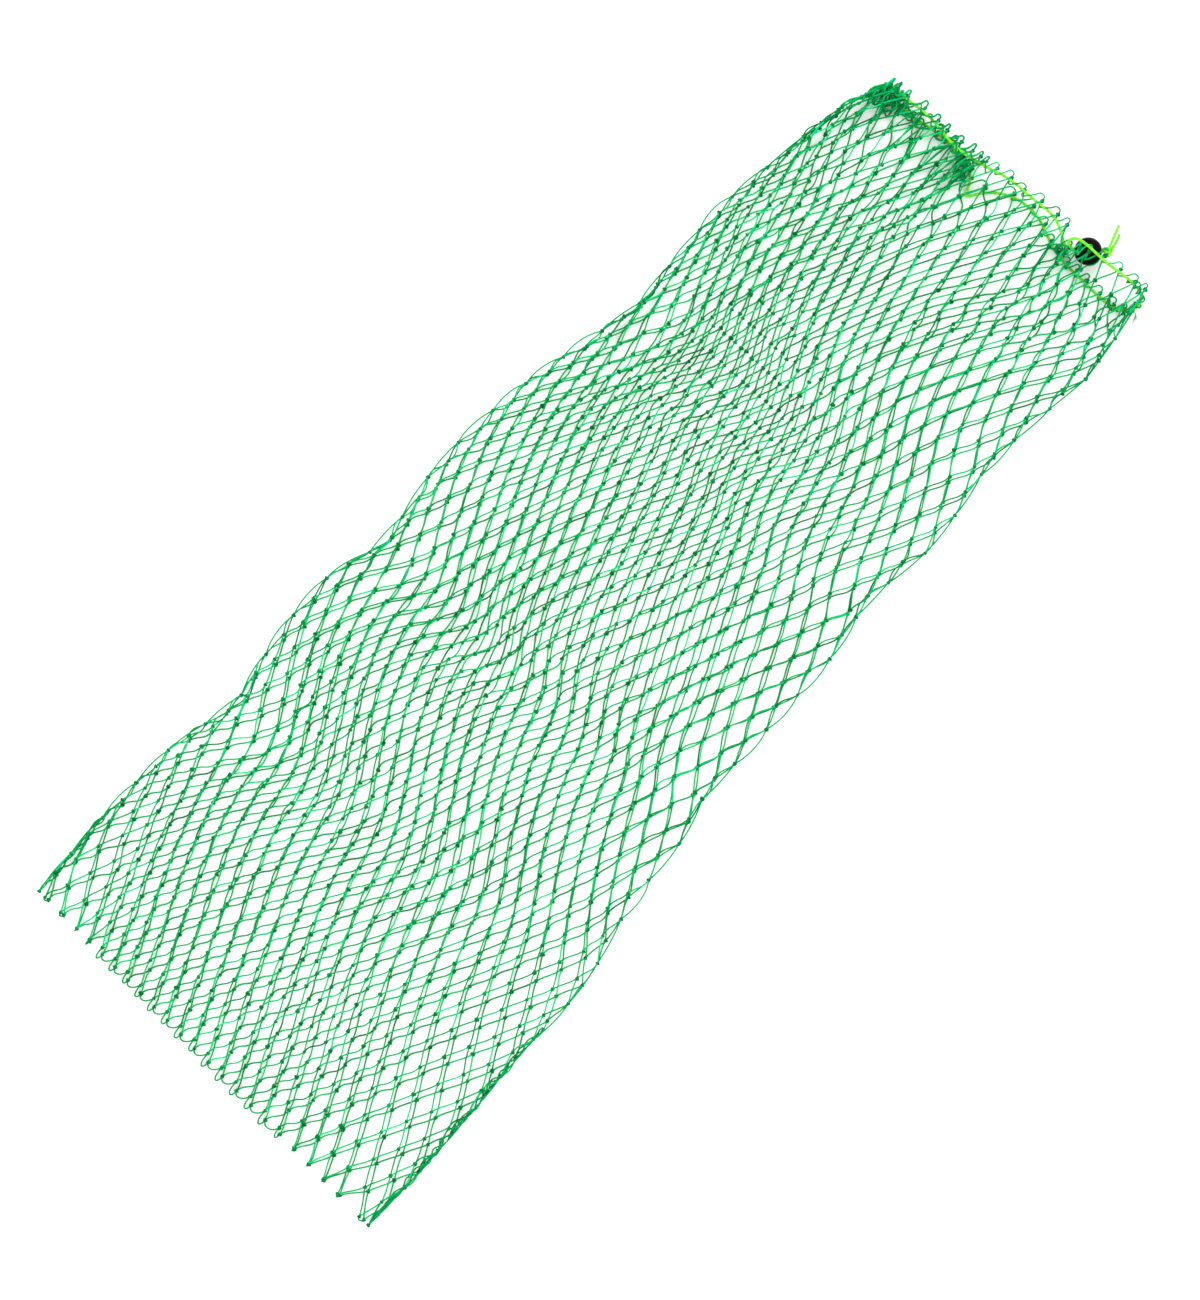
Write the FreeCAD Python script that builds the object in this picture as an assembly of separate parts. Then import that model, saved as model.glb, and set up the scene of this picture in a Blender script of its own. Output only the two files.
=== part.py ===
import FreeCAD, Part
import math
import os

# A drawstring net bag lying flat: a tube of diamond netting, closed at one end, with a drawstring
# through the end meshes of its mouth and a bead, the cord stop, on the drawstring's two ends.
# Millimetres. X runs across the bag, Y along it from the closed end to the mouth, and Z up.
# Stations along the bag are counted from the closed end and moved to the row origin by MIDDLE_Y.

V = FreeCAD.Vector
UP = V(0, 0, 1)

# Driving dimensions
MIDDLE_Y = 262.0        # station of the row origin, halfway along the whole object
BAG_HEIGHT = 8.2        # both layers and the air between them
LAYER = 0.6             # thickness of one layer of netting, twine and knots
FOLD_WALL = 0.8         # the same where the netting curves round at a side
END_GAP = 0.1           # between the closed end's wall and each fold
RIM_START = 488.0       # station where the mouth's end meshes begin
RIM_GAP = 0.3           # between the rim and the layer that it carries on
CORD = 1.2              # drawstring diameter
CORD_GAP = 0.15         # between the drawstring and the netting above or below it
BEAD = 12.0             # bead diameter
BEAD_BORE = 3.4         # its through hole
BEAD_EDGE = 0.5         # rounding at the mouths of the hole
KNOT = 4.2              # width of the knot in the cord's two ends
KNOT_HEIGHT = 3.8
KNOT_GAP = 0.4          # between the bead and the knot
CORD_PITCH = 1.3        # between the two cord ends side by side
BEAD_X, BEAD_Y = 40.4, 510.4
HOLE_AZIMUTH = 43.2     # direction of the bead's hole in plan, in degrees from +X

# The bag's sides, from the closed end to the rim: (across, station)
LEFT_SIDE = [(-102, 4), (-103, 60), (-101, 125), (-102.5, 175), (-101, 255), (-96, 313),
             (-89, 364), (-87.5, 418), (-82.5, 462), (-73, RIM_START)]
RIGHT_SIDE = [(103.5, -4), (100.5, 97), (99, 135), (88.5, 205), (82.5, 240), (82, 280),
              (80, 330), (79, 376), (75.5, 411), (77, 445), (74.5, RIM_START)]

# The mouth edges, from the left corner to the right: (across, station)
UPPER_EDGE = [(-70, 503), (-48, 506.5), (-30, 505), (-5, 508.5), (10, 509.5), (20, 507),
              (27, 500.5), (40, 499), (50, 502), (56, 509), (66, 511), (73, 507)]
LOWER_EDGE = [(-70, 500), (-45, 502.5), (-16, 498), (5, 506), (24, 502), (46, 499), (64, 500),
              (73, 503)]

# The meshes bunched at the mouth's corners: (across, station), and sizes along X, Y and Z
BUNCH_HEIGHT = 5.6
LEFT_BUNCH, LEFT_BUNCH_SIZE = (-64, 494.6), (14, 9.6)
RIGHT_BUNCH, RIGHT_BUNCH_SIZE = (64.2, 506.6), (8, 7)

# The drawstring's two loops, from the bead's hole round the mouth: (across, station, height)
FRONT_Z = BAG_HEIGHT - LAYER - CORD_GAP - CORD / 2
BACK_Z = LAYER + CORD_GAP + CORD / 2
LEFT_LOOP = [(36.3, 506.6, 5.35), (31.6, 504.9, 5.5), (26.4, 508.6, 6.2), (19, 511.6, FRONT_Z),
             (7, 510.4, FRONT_Z), (-6, 510, FRONT_Z), (-18, 506, FRONT_Z), (-33, 503.6, FRONT_Z),
             (-48, 506.2, FRONT_Z), (-61, 504.6, FRONT_Z), (-70.6, 505.2, 5), (-71, 501.6, 2.6),
             (-62, 501.2, BACK_Z), (-52, 502, BACK_Z), (-42, 504.2, BACK_Z), (-31, 503.8, BACK_Z),
             (-22, 502.6, BACK_Z), (-16.4, 498.6, BACK_Z), (-14.6, 490.6, BACK_Z), (-8.6, 500.4, BACK_Z),
             (0.6, 506.4, BACK_Z), (11, 508, BACK_Z), (20.5, 505.6, BACK_Z), (28, 502, BACK_Z)]
RIGHT_LOOP = [(28, 502, BACK_Z), (36.5, 500.2, BACK_Z), (47, 500.6, BACK_Z), (58.4, 500, BACK_Z),
              (68, 501.4, 1.7), (72.9, 507.2, 3), (70.2, 513.4, 4.8), (61.6, 513.6, 7.4),
              (53.4, 511.8, 10.6), (45.6, 510.9, 13.2), (37.6, 511, 13.1), (31.8, 510.2, 11),
              (30.9, 505.9, 8.2), (36.3, 506.6, 6.65)]

ALONG_HOLE = V(math.cos(math.radians(HOLE_AZIMUTH)), math.sin(math.radians(HOLE_AZIMUTH)), 0)


def place(x, station, z=0.0):
    """A point of the bag in the row frame."""
    return V(x, station - MIDDLE_Y, z)


BEAD_CENTRE = place(BEAD_X, BEAD_Y, BEAD / 2)
KNOT_CENTRE = BEAD_CENTRE + ALONG_HOLE * (BEAD / 2 + KNOT_GAP + KNOT / 2)

# Each free end of the drawstring past the knot: where it bends, and its tip
TAILS = {
    "drawstring_tail_long": [place(44.6, 520.8, 7.8), place(42.4, 527.7, 6)],
    "drawstring_tail_short": [place(47.6, 520.4, 4.6), place(45.2, 525.4, 3.4)],
}


def curve(points, inset=0.0):
    """A smooth edge through plan points, moved towards the bag's middle by inset."""
    moved = [place(x - math.copysign(inset, x), station) for x, station in points]
    spline = Part.BSplineCurve()
    spline.interpolate(moved)
    return spline.toShape()


def line(a, b):
    return Part.makeLine(a, b)


def ends(edge):
    return edge.valueAt(edge.FirstParameter), edge.valueAt(edge.LastParameter)


def slab(edges, bottom, thickness):
    """A closed ring of plan edges, as a plate."""
    wire = Part.Wire(Part.__sortEdges__(edges))
    wire.translate(UP * bottom)
    return Part.Face(wire).extrude(UP * thickness)


def layer(bottom):
    """One layer of netting from the closed end to where the end meshes begin."""
    left, right = curve(LEFT_SIDE), curve(RIGHT_SIDE)
    (low_left, high_left), (low_right, high_right) = ends(left), ends(right)
    ring = [left, right, line(low_left, low_right), line(high_left, high_right)]
    return slab(ring, bottom, LAYER)


def side_fold(side):
    """The wall between the layers where the netting curves round at one side."""
    outer, inner = curve(side), curve(side, FOLD_WALL)
    (low_out, high_out), (low_in, high_in) = ends(outer), ends(inner)
    ring = [outer, inner, line(low_out, low_in), line(high_out, high_in)]
    return slab(ring, LAYER, BAG_HEIGHT - 2 * LAYER)


def closed_end():
    """The row of knots that joins the layers, between the two folds."""
    inset = FOLD_WALL + END_GAP
    left = place(LEFT_SIDE[0][0] + inset, LEFT_SIDE[0][1])
    right = place(RIGHT_SIDE[0][0] - inset, RIGHT_SIDE[0][1])
    wall = V(0, FOLD_WALL, 0)
    ring = [line(left, right), line(right, right + wall),
            line(right + wall, left + wall), line(left + wall, left)]
    return slab(ring, LAYER, BAG_HEIGHT - 2 * LAYER)


def rim(edge_points, bottom):
    """The end meshes of one layer, from RIM_START to the mouth's edge."""
    start = RIM_START + RIM_GAP
    edge = curve(edge_points)
    left, right = ends(edge)
    low_left, low_right = place(LEFT_SIDE[-1][0], start), place(RIGHT_SIDE[-1][0], start)
    return slab([edge, line(low_left, left), line(low_right, right), line(low_left, low_right)],
                bottom, LAYER)


def lump(centre, length, width, height):
    """An egg-shaped solid: twine or cord wound or gathered tightly."""
    stretch = FreeCAD.Matrix()
    stretch.scale(length / 2, width / 2, height / 2)
    solid = Part.makeSphere(1.0).transformGeometry(stretch)
    solid.translate(centre)
    return solid


def bunch(centre, size):
    """Meshes gathered together between the layers, at one corner of the mouth."""
    return lump(place(*centre, BAG_HEIGHT / 2), *size, BUNCH_HEIGHT)


def cord_path(points):
    """Straight runs joined by tangent arcs, each as large as its two runs allow."""
    edges, radii, start = [], [], points[0]
    for before, at, after in zip(points, points[1:], points[2:]):
        into, out = (before - at), (after - at)
        shorter = min(into.Length, out.Length)
        turn = math.pi - into.getAngle(out)
        reach = 0.45 * shorter
        into.normalize()
        out.normalize()
        first, last = at + into * reach, at + out * reach
        radius = reach / math.tan(turn / 2)
        bisector = (into + out).normalize()
        centre_distance = math.hypot(reach, radius)
        middle = at + bisector * (centre_distance - radius)
        edges += [Part.LineSegment(start, first).toShape(), Part.Arc(first, middle, last).toShape()]
        radii.append(round(radius, 1))
        start = last
    edges.append(Part.LineSegment(start, points[-1]).toShape())
    return Part.Wire(edges), radii


def cord(points, name, diameter=CORD):
    """A round cord along its route. The printed line compares its volume with section x length."""
    path, radii = cord_path(points)
    heading = (points[1] - points[0]).normalize()
    section = Part.Wire(Part.makeCircle(diameter / 2, points[0], heading))
    tube = path.makePipeShell([section], True, True)
    expected = math.pi * (diameter / 2) ** 2 * path.Length
    print(f"{name}: length {path.Length:.1f}, radii {radii}, volume {tube.Volume / expected:.3f}")
    return tube


def doubled_end():
    """Both ends of the drawstring through the bead, side by side, from the loops to the knot."""
    start = BEAD_CENTRE - ALONG_HOLE * (BEAD / 2)
    length = BEAD + KNOT_GAP / 2
    runs = []
    for side in (-1, 1):
        foot = start + UP * (side * CORD_PITCH / 2)
        runs.append(Part.makeCylinder(CORD / 2, length, foot, ALONG_HOLE))
    return Part.makeCompound(runs)


def bead():
    """A ball turned about its through hole, whose two mouths are rounded."""
    ball, bore = BEAD / 2, BEAD_BORE / 2
    eased_at = math.sqrt((ball - BEAD_EDGE) ** 2 - (bore + BEAD_EDGE) ** 2)

    def at(along, out):
        return BEAD_CENTRE + ALONG_HOLE * along + UP * out

    def eased_mouth(sign):
        """The rounding at one mouth: where it leaves the hole, its middle, where it meets the ball."""
        centre = at(sign * eased_at, bore + BEAD_EDGE)
        to_ball = (centre - BEAD_CENTRE).normalize()
        to_middle = (to_ball - UP).normalize()
        return at(sign * eased_at, bore), centre + to_middle * BEAD_EDGE, centre + to_ball * BEAD_EDGE

    back, front = eased_mouth(-1), eased_mouth(1)
    profile = [line(back[0], front[0]), Part.Arc(*front).toShape(),
               Part.Arc(front[2], at(0, ball), back[2]).toShape(), Part.Arc(*back).toShape()]
    face = Part.Face(Part.Wire(Part.__sortEdges__(profile)))
    return face.revolve(BEAD_CENTRE, ALONG_HOLE, 360)


def knot():
    """The overhand knot in both cord ends: a lump as wide as its wound turns."""
    return lump(KNOT_CENTRE, KNOT, KNOT, KNOT_HEIGHT)


def tail(name):
    """One free end of the cord past the knot, in two short runs from the knot's surface."""
    bend, tip = TAILS[name]
    rise = (bend - KNOT_CENTRE).normalize()
    return cord([KNOT_CENTRE + rise * (KNOT / 2 - LAYER), bend, tip], name)


def loop(name, route):
    return cord([place(*point) for point in route], name)


def netting():
    """The knotted netting, region by region."""
    upper = BAG_HEIGHT - LAYER
    return {
        "net_lower_layer": layer(0.0),
        "net_upper_layer": layer(upper),
        "net_left_fold": side_fold(LEFT_SIDE),
        "net_right_fold": side_fold(RIGHT_SIDE),
        "net_closed_end": closed_end(),
        "net_mouth_rim_lower": rim(LOWER_EDGE, 0.0),
        "net_mouth_rim_upper": rim(UPPER_EDGE, upper),
        "net_mouth_left_bunch": bunch(LEFT_BUNCH, LEFT_BUNCH_SIZE),
        "net_mouth_right_bunch": bunch(RIGHT_BUNCH, RIGHT_BUNCH_SIZE),
    }


def drawstring():
    """The drawstring from end to end, with the bead that it runs through."""
    pieces = {
        "drawstring_left_loop": loop("drawstring_left_loop", LEFT_LOOP),
        "drawstring_right_loop": loop("drawstring_right_loop", RIGHT_LOOP),
        "drawstring_doubled_end": doubled_end(),
        "cord_stop_bead": bead(),
        "drawstring_end_knot": knot(),
    }
    pieces.update({name: tail(name) for name in TAILS})
    return pieces


os.makedirs("parts", exist_ok=True)
for node, shape in {**netting(), **drawstring()}.items():
    shape.exportStep(f"parts/{node}.step")
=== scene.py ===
import math

import bpy
import numpy as np
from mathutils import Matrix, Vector


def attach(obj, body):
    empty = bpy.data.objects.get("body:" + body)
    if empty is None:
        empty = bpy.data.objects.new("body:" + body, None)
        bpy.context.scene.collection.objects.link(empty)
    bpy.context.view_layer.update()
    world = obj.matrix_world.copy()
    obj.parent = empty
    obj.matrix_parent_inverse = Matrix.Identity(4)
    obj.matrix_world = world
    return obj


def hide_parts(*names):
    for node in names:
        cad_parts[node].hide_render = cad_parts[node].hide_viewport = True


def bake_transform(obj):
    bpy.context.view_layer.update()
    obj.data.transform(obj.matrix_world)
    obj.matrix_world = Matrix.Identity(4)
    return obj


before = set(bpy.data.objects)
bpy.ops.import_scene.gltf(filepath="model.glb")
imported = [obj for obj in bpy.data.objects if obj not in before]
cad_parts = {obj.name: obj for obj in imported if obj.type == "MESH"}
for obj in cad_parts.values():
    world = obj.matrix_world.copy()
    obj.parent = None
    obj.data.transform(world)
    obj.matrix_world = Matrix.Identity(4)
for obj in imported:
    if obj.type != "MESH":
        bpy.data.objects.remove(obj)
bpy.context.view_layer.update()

# A knotted-mesh drawstring net bag, lying flat. Sizes here are in millimetres in the bag's own terms:
# x across the bag, the station s along it from the closed end, z up. at() turns them into metres in
# the row frame. The netting is knots joined by bars of twine, in two layers that meet at the sides.

MM = 0.001
MIDDLE_Y = 262.0                  # station of the row origin
SEED = 20
UP = np.array([0.0, 0.0, 1.0])

# The netting
AROUND = 48                       # meshes round the tube, half of them in each layer
ACROSS = AROUND // 2
ROWS = 50                         # knot rows after the first
ROW_PITCH = 10.5                  # about how far apart the rows are
BAR = 11.4                        # twine from knot to knot
BAR_STEPS = 8                     # straight pieces in one bar
TWINE_R = 0.38
KNOT_R = 0.68                     # a netting knot
TWINE_SIDES = 5
YARN_R = 0.12                     # one of the yarns in a frayed end
LOWEST = TWINE_R + 0.05           # bars, hooks and wound twine keep their middles above this
HIGHEST = 9.6                     # and bars and hooks keep them below this
CORD_CROSSING = 0.78              # the share of a last-row bar at which it crosses the drawstring
END_SLOPE = -0.039                # the closed end's line: station per millimetre across
END_APART = 1.3                   # the upper end knots are this far up the bag from it. The lower ones, and
                                  # both near the corners, are this far down.
MIDDLE_APART = 1.2                # mid-bag each layer's rows are shifted by this much more
MOUTH_STATION, MOUTH_SLOPE = 505.7, 0.06    # the rows are spread up to this line at the mouth
MOUTH_LEFT, MOUTH_WIDTH = -71.0, 143.5      # across the mouth: its left corner and its width
PLEAT_STATION, PLEAT_SLOPE = 504.3, 0.04    # the line that the pleats under the drawstring go up to
UPPER_Z, UPPER_SAG, LOWER_Z = 7.3, 2.2, 1.15
UPPER_END_Z, LOWER_END_Z = 6.3, 1.9         # the end knots at the mouth
FOLD_REACH = 6.0                  # how far in from a side the layers come together
FOLD_INSET = 1.0                  # the side knots lie this far inside the outline
WIDER = 0.14                      # the meshes are this share wider than the mean on the right
SMILE = 3.0                       # mid-bag the rows curve up towards the sides by this much
WAVE_X, WAVE_S = 1.9, 1.6         # the knots' random shifts, across and along

# The bag's sides: (across, station). Near some stations a side's meshes are drawn together:
# (station, reach, strength). The outer meshes within PINCH_REACH of the side take part.
PINCH_REACH = 17.0
LEFT_SIDE = [(-101, 4), (-102, 28), (-102.5, 53), (-101, 93), (-94.5, 118), (-99, 142), (-102.8, 170),
             (-101, 196), (-94.5, 211), (-99, 232), (-101.2, 255), (-100, 285), (-96, 313), (-89, 345),
             (-85.5, 364), (-88, 392), (-88.5, 418), (-86, 440), (-83, 465), (-79.5, 484), (-75.5, 497),
             (-71, 507)]
RIGHT_SIDE = [(102.5, -4), (102.5, 30), (100.5, 70), (99.5, 97), (99, 135), (92.5, 161), (88.5, 190),
              (87, 210), (81.5, 227), (81.5, 250), (81, 280), (80.5, 305), (79.2, 320), (74.5, 335),
              (77.5, 355), (79.5, 376), (76.5, 395), (73.5, 411), (75, 440), (78, 478), (73, 500),
              (72.5, 511)]
LEFT_PINCHES = [(28, 22, 1.3), (118, 20, 1), (211, 14, 1), (364, 15, 1)]
RIGHT_PINCHES = [(20, 40, 1.6), (75, 30, 1.5), (136, 15, 1), (227, 14, 1), (335, 14, 1), (411, 14, 1),
                 (480, 20, 0.4)]

# The end knots of each layer from left to right
UPPER_END = [(-71, 503.5), (-69.8, 505), (-66, 505.4), (-60.8, 505.7), (-53.2, 507.4), (-45.3, 507.2),
             (-39.5, 506.7), (-31.6, 507.4), (-25.5, 508), (-21.2, 508.4), (-17.9, 508.8), (-12.4, 509.8),
             (-5.1, 510.8), (2.6, 511), (11.5, 512.7), (20.5, 513.2), (26.5, 512.6), (34, 505.9),
             (37.5, 508.2), (41.1, 509.6), (47.6, 514), (56.5, 514.2), (64.2, 515), (69.7, 515.2),
             (72.5, 508)]
LOWER_END = [(-71, 503.5), (-73.5, 500), (-70.5, 497.5), (-67.5, 500.5), (-64, 498), (-58.5, 501.5),
             (-50, 502), (-41, 504.5), (-33, 505.2), (-26, 503.8), (-20.5, 501.5), (-17, 496.5),
             (-9, 501), (0.5, 507.4), (10.5, 509.4), (19.5, 507.4), (27, 503.8), (33, 502), (38.5, 501.6),
             (43.5, 502), (49.5, 501.6), (57, 501.6), (63.5, 502), (68.5, 503.8), (72.5, 508)]
CROWDED_HOOKS = (-10, -26)        # across: right of the first the mouth's hooks are loose, left of the second
                                  # they are crowded
MOUTH_BLEND = (0.87, 1.0)         # over this share of the length the meshes take up the mouth's spacing

# The drawstring
CORD_D = 1.2
CORD_SIDES = 10
CORD_STEP = 0.28                  # between two rings of the loops' surface
PLAIT, PLAIT_SWELL = 1.1, 0.05    # one plait's length, and how far it swells as a share of the radius
CORD_TWIST = 2.2                  # the braid's strands come round after this length
TAIL_STEP, PLAITS_A_STEP = 0.25, 0.23       # between two rings of a tail's surface
BUD_SHARE, BUD_SWELL, TIP_R = 0.06, 1.12, 0.05      # the melted bud: its share of the tail, its size, its tip
FRONT_Z, BACK_Z = 6.85, 1.35
LEFT_LOOP = [(36.3, 506.6, 5.35), (31.6, 504.9, 5.5), (26.4, 508.6, 6.2), (19, 511.6, FRONT_Z),
             (7, 510.4, FRONT_Z), (-6, 510, FRONT_Z), (-18, 506, FRONT_Z), (-33, 503.6, FRONT_Z),
             (-48, 506.2, FRONT_Z), (-61, 504.6, FRONT_Z), (-70.6, 505.2, 5), (-71, 501.6, 2.6),
             (-62, 501.2, BACK_Z), (-52, 502, BACK_Z), (-42, 504.2, BACK_Z), (-31, 503.8, BACK_Z),
             (-22, 502.6, BACK_Z), (-16.4, 498.6, BACK_Z), (-14.6, 490.6, BACK_Z),
             (-8.6, 500.4, BACK_Z),
             (0.6, 506.4, BACK_Z), (11, 508, BACK_Z), (20.5, 505.6, BACK_Z), (28, 502, BACK_Z)]
RIGHT_LOOP = [(28, 502, BACK_Z), (36.5, 500.2, BACK_Z), (47, 500.6, BACK_Z), (58.4, 500, BACK_Z),
              (68, 501.4, 1.7), (72.9, 507.2, 3), (70.2, 513.4, 4.8), (61.6, 513.6, 7.4),
              (53.4, 511.8, 10.6), (45.6, 510.9, 13.2), (37.6, 511, 13.1), (31.8, 510.2, 11),
              (30.9, 505.9, 8.2), (36.3, 506.6, 6.65)]
LONG_TAIL = [(44.6, 520.8, 7.8), (42.4, 527.7, 6)]
SHORT_TAIL = [(47.6, 520.4, 4.6), (45.2, 525.4, 3.4)]

BEAD_CENTRE = np.array([40.4, 510.4, 6.0])
BEAD_R = 6.0
KNOT_AHEAD = 8.5                  # from the bead's middle to the knot's
PAIR_BACK, PAIR_LENGTH = 6.2, 13.6          # the cord's two ends in the bead: from this far behind its middle
PAIR_APART = 0.65                 # each is this far above or below the hole's axis
STRETCH_BACK, STRETCH_AHEAD = 3.0, 7.2      # two places on the hole's axis: this far behind and this far ahead of the bead's middle
HOLE_AZIMUTH = math.radians(43.2)           # the way the bead's hole points, towards the knot
ALONG_HOLE = np.array([math.cos(HOLE_AZIMUTH), math.sin(HOLE_AZIMUTH), 0.0])
TWINE_ON_BEAD, KNOT_ON_BEAD = 0.35, 0.5     # how far above the bead's surface their middles are

# A start and an end place, (across, station), at each of the mouth's two corners
LEFT_GATHER = ((40.0, 510.0), (-45.9, 553.0))
RIGHT_GATHER = ((48.0, 505.0), (72.0, 511.0))
GATHER_ROW = 18                   # rows before this one make the closed half's pieces
GATHER_SPLIT = 40.0               # across: meshes left of it go in the left side's pieces

# Which piece of netting a knot or bar belongs to
RIM_ROWS, BUNCH_ROWS = 2, 4       # the last rows, in the rims and the right bunch, and in the left bunch
LEFT_BUNCH_X, RIGHT_BUNCH_X = -58, 60       # across: outside these the last rows are the corners' bunches
FOLD_SHARE = 0.035                # this near to a side, as a share of the width, it is in the fold

CAMERA_OVER = (4.9, 242.8, 0.0)   # the camera is above this place
CAMERA_TURN = math.radians(43.2)  # the bag runs from the lower left to the upper right
SEEN_HEIGHT = 0.559               # metres of floor from the picture's bottom to its top

rng = np.random.default_rng(SEED)


# ---------------------------------------------------------------- small helpers

def at(points):
    """Bag millimetres to metres in the row frame."""
    moved = np.array(points, float) * MM
    moved[..., 1] -= MIDDLE_Y * MM
    return moved


def smooth(value, low=0.0, high=1.0):
    """A smooth step from 0 at low to 1 at high."""
    t = np.clip((value - low) / (high - low), 0, 1)
    return t * t * (3 - 2 * t)


def side_x(points, station):
    """Across position of a side at each station: a smooth line through its points."""
    xs, ss = np.array(points, float).T
    slope = np.gradient(xs, ss)
    i = np.clip(np.searchsorted(ss, station) - 1, 0, len(ss) - 2)
    span = ss[i + 1] - ss[i]
    t = np.clip((station - ss[i]) / span, 0, 1)
    return ((1 + 2 * t) * (1 - t) ** 2 * xs[i] + t * (1 - t) ** 2 * span * slope[i]
            + t * t * (3 - 2 * t) * xs[i + 1] + t * t * (t - 1) * span * slope[i + 1])


# ---------------------------------------------------------------- meshes from curves

def frames(line):
    """The two unit normals along each curve of an array (curves, points, 3)."""
    tangent = np.gradient(line, axis=1)
    tangent /= np.linalg.norm(tangent, axis=2, keepdims=True) + 1e-12
    side = np.cross(np.broadcast_to(UP, tangent.shape), tangent)
    length = np.linalg.norm(side, axis=2, keepdims=True)
    side = np.where(length > 0.05, side / (length + 1e-12), np.array([1.0, 0, 0]))
    return side, np.cross(tangent, side)


def tubes(line, radius, sides):
    """Round tubes round many curves at once: vertices, quads, and (turn, distance along) per vertex."""
    count, steps, _ = line.shape
    side, other = frames(line)
    angle = np.arange(sides) * 2 * math.pi / sides
    ring = side[:, :, None] * np.cos(angle)[:, None] + other[:, :, None] * np.sin(angle)[:, None]
    verts = line[:, :, None] + np.asarray(radius)[..., None, None] * ring
    step = np.linalg.norm(np.diff(line, axis=1), axis=2)
    along = np.concatenate([np.zeros((count, 1)), np.cumsum(step, axis=1)], axis=1)
    index = np.arange(count * steps * sides).reshape(count, steps, sides)
    a, b = index[:, :-1], index[:, 1:]
    quads = np.stack([a, np.roll(a, -1, axis=2), np.roll(b, -1, axis=2), b], axis=-1).reshape(-1, 4)
    turn = np.broadcast_to(angle / (2 * math.pi), (count, steps, sides))
    coord = np.stack([turn, np.broadcast_to(along[:, :, None], turn.shape)], axis=-1)
    return verts.reshape(-1, 3), quads, coord.reshape(-1, 2)


class Heap:
    """Collects vertices and quads for one mesh, with a shade for each vertex."""

    def __init__(self):
        self.verts, self.quads, self.coords, self.shades, self.size = [], [], [], [], 0

    def add(self, verts, quads, coords, shade):
        self.verts.append(verts)
        self.quads.append(quads + self.size)
        self.coords.append(coords)
        self.shades.append(np.broadcast_to(shade, len(verts)))
        self.size += len(verts)

    def mesh(self, name, material):
        verts, quads = at(np.concatenate(self.verts)), np.concatenate(self.quads)
        coords, shades = np.concatenate(self.coords), np.concatenate(self.shades)
        mesh = bpy.data.meshes.new(name)
        mesh.vertices.add(len(verts))
        mesh.vertices.foreach_set("co", verts.astype(np.float32).ravel())
        mesh.loops.add(quads.size)
        mesh.loops.foreach_set("vertex_index", quads.astype(np.int32).ravel())
        mesh.polygons.add(len(quads))
        mesh.polygons.foreach_set("loop_start", np.arange(0, quads.size, 4, dtype=np.int32))
        mesh.update(calc_edges=True)
        mesh.shade_smooth()
        uv = mesh.uv_layers.new(name="UVMap")
        uv.data.foreach_set("uv", coords[quads.ravel()].astype(np.float32).ravel())
        shade = mesh.attributes.new("shade", "FLOAT", "POINT")
        shade.data.foreach_set("value", shades.astype(np.float32))
        obj = bpy.data.objects.new(name, mesh)
        bpy.context.scene.collection.objects.link(obj)
        mesh.materials.append(material)
        return obj


# ---------------------------------------------------------------- materials

# Painted shade: the grooves between the twisted strands are drawn darker and the ridges lighter
GROOVE_PAINTED_SHADE = 0.13             # how much darker the grooves between the strands are
BUMP_DEPTH = 0.0001               # metres


def node_material(name):
    material = bpy.data.materials.new(name)
    material.use_nodes = True
    tree = material.node_tree
    return material, tree, tree.nodes["Principled BSDF"]


def add_node(tree, kind, **values):
    node = tree.nodes.new(kind)
    for key, value in values.items():
        setattr(node, key, value)
    return node


def colour_ramp(tree, factor, stops):
    ramp = add_node(tree, "ShaderNodeValToRGB")
    elements = ramp.color_ramp.elements
    while len(elements) < len(stops):
        elements.new(0.5)
    for element, (position, colour) in zip(elements, stops):
        element.position = position
        element.color = (*colour, 1)
    tree.links.new(factor, ramp.inputs["Fac"])
    return ramp.outputs["Color"]


def twist_height(tree, pitch, strands):
    """Ridges of laid strands, from the turn and the distance along the twine."""
    uv = add_node(tree, "ShaderNodeUVMap", uv_map="UVMap")
    split = add_node(tree, "ShaderNodeSeparateXYZ")
    tree.links.new(uv.outputs["UV"], split.inputs[0])
    along = add_node(tree, "ShaderNodeMath", operation="DIVIDE")
    along.inputs[1].default_value = pitch
    tree.links.new(split.outputs["Y"], along.inputs[0])
    both = add_node(tree, "ShaderNodeMath", operation="ADD")
    tree.links.new(split.outputs["X"], both.inputs[0])
    tree.links.new(along.outputs[0], both.inputs[1])
    phase = add_node(tree, "ShaderNodeMath", operation="MULTIPLY")
    phase.inputs[1].default_value = 2 * math.pi * strands
    tree.links.new(both.outputs[0], phase.inputs[0])
    sine = add_node(tree, "ShaderNodeMath", operation="SINE")
    tree.links.new(phase.outputs[0], sine.inputs[0])
    return sine.outputs[0]


def add_bump(tree, shader, height, strength):
    bump = add_node(tree, "ShaderNodeBump")
    bump.inputs["Strength"].default_value = strength
    bump.inputs["Distance"].default_value = BUMP_DEPTH
    tree.links.new(height, bump.inputs["Height"])
    tree.links.new(bump.outputs["Normal"], shader.inputs["Normal"])


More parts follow.
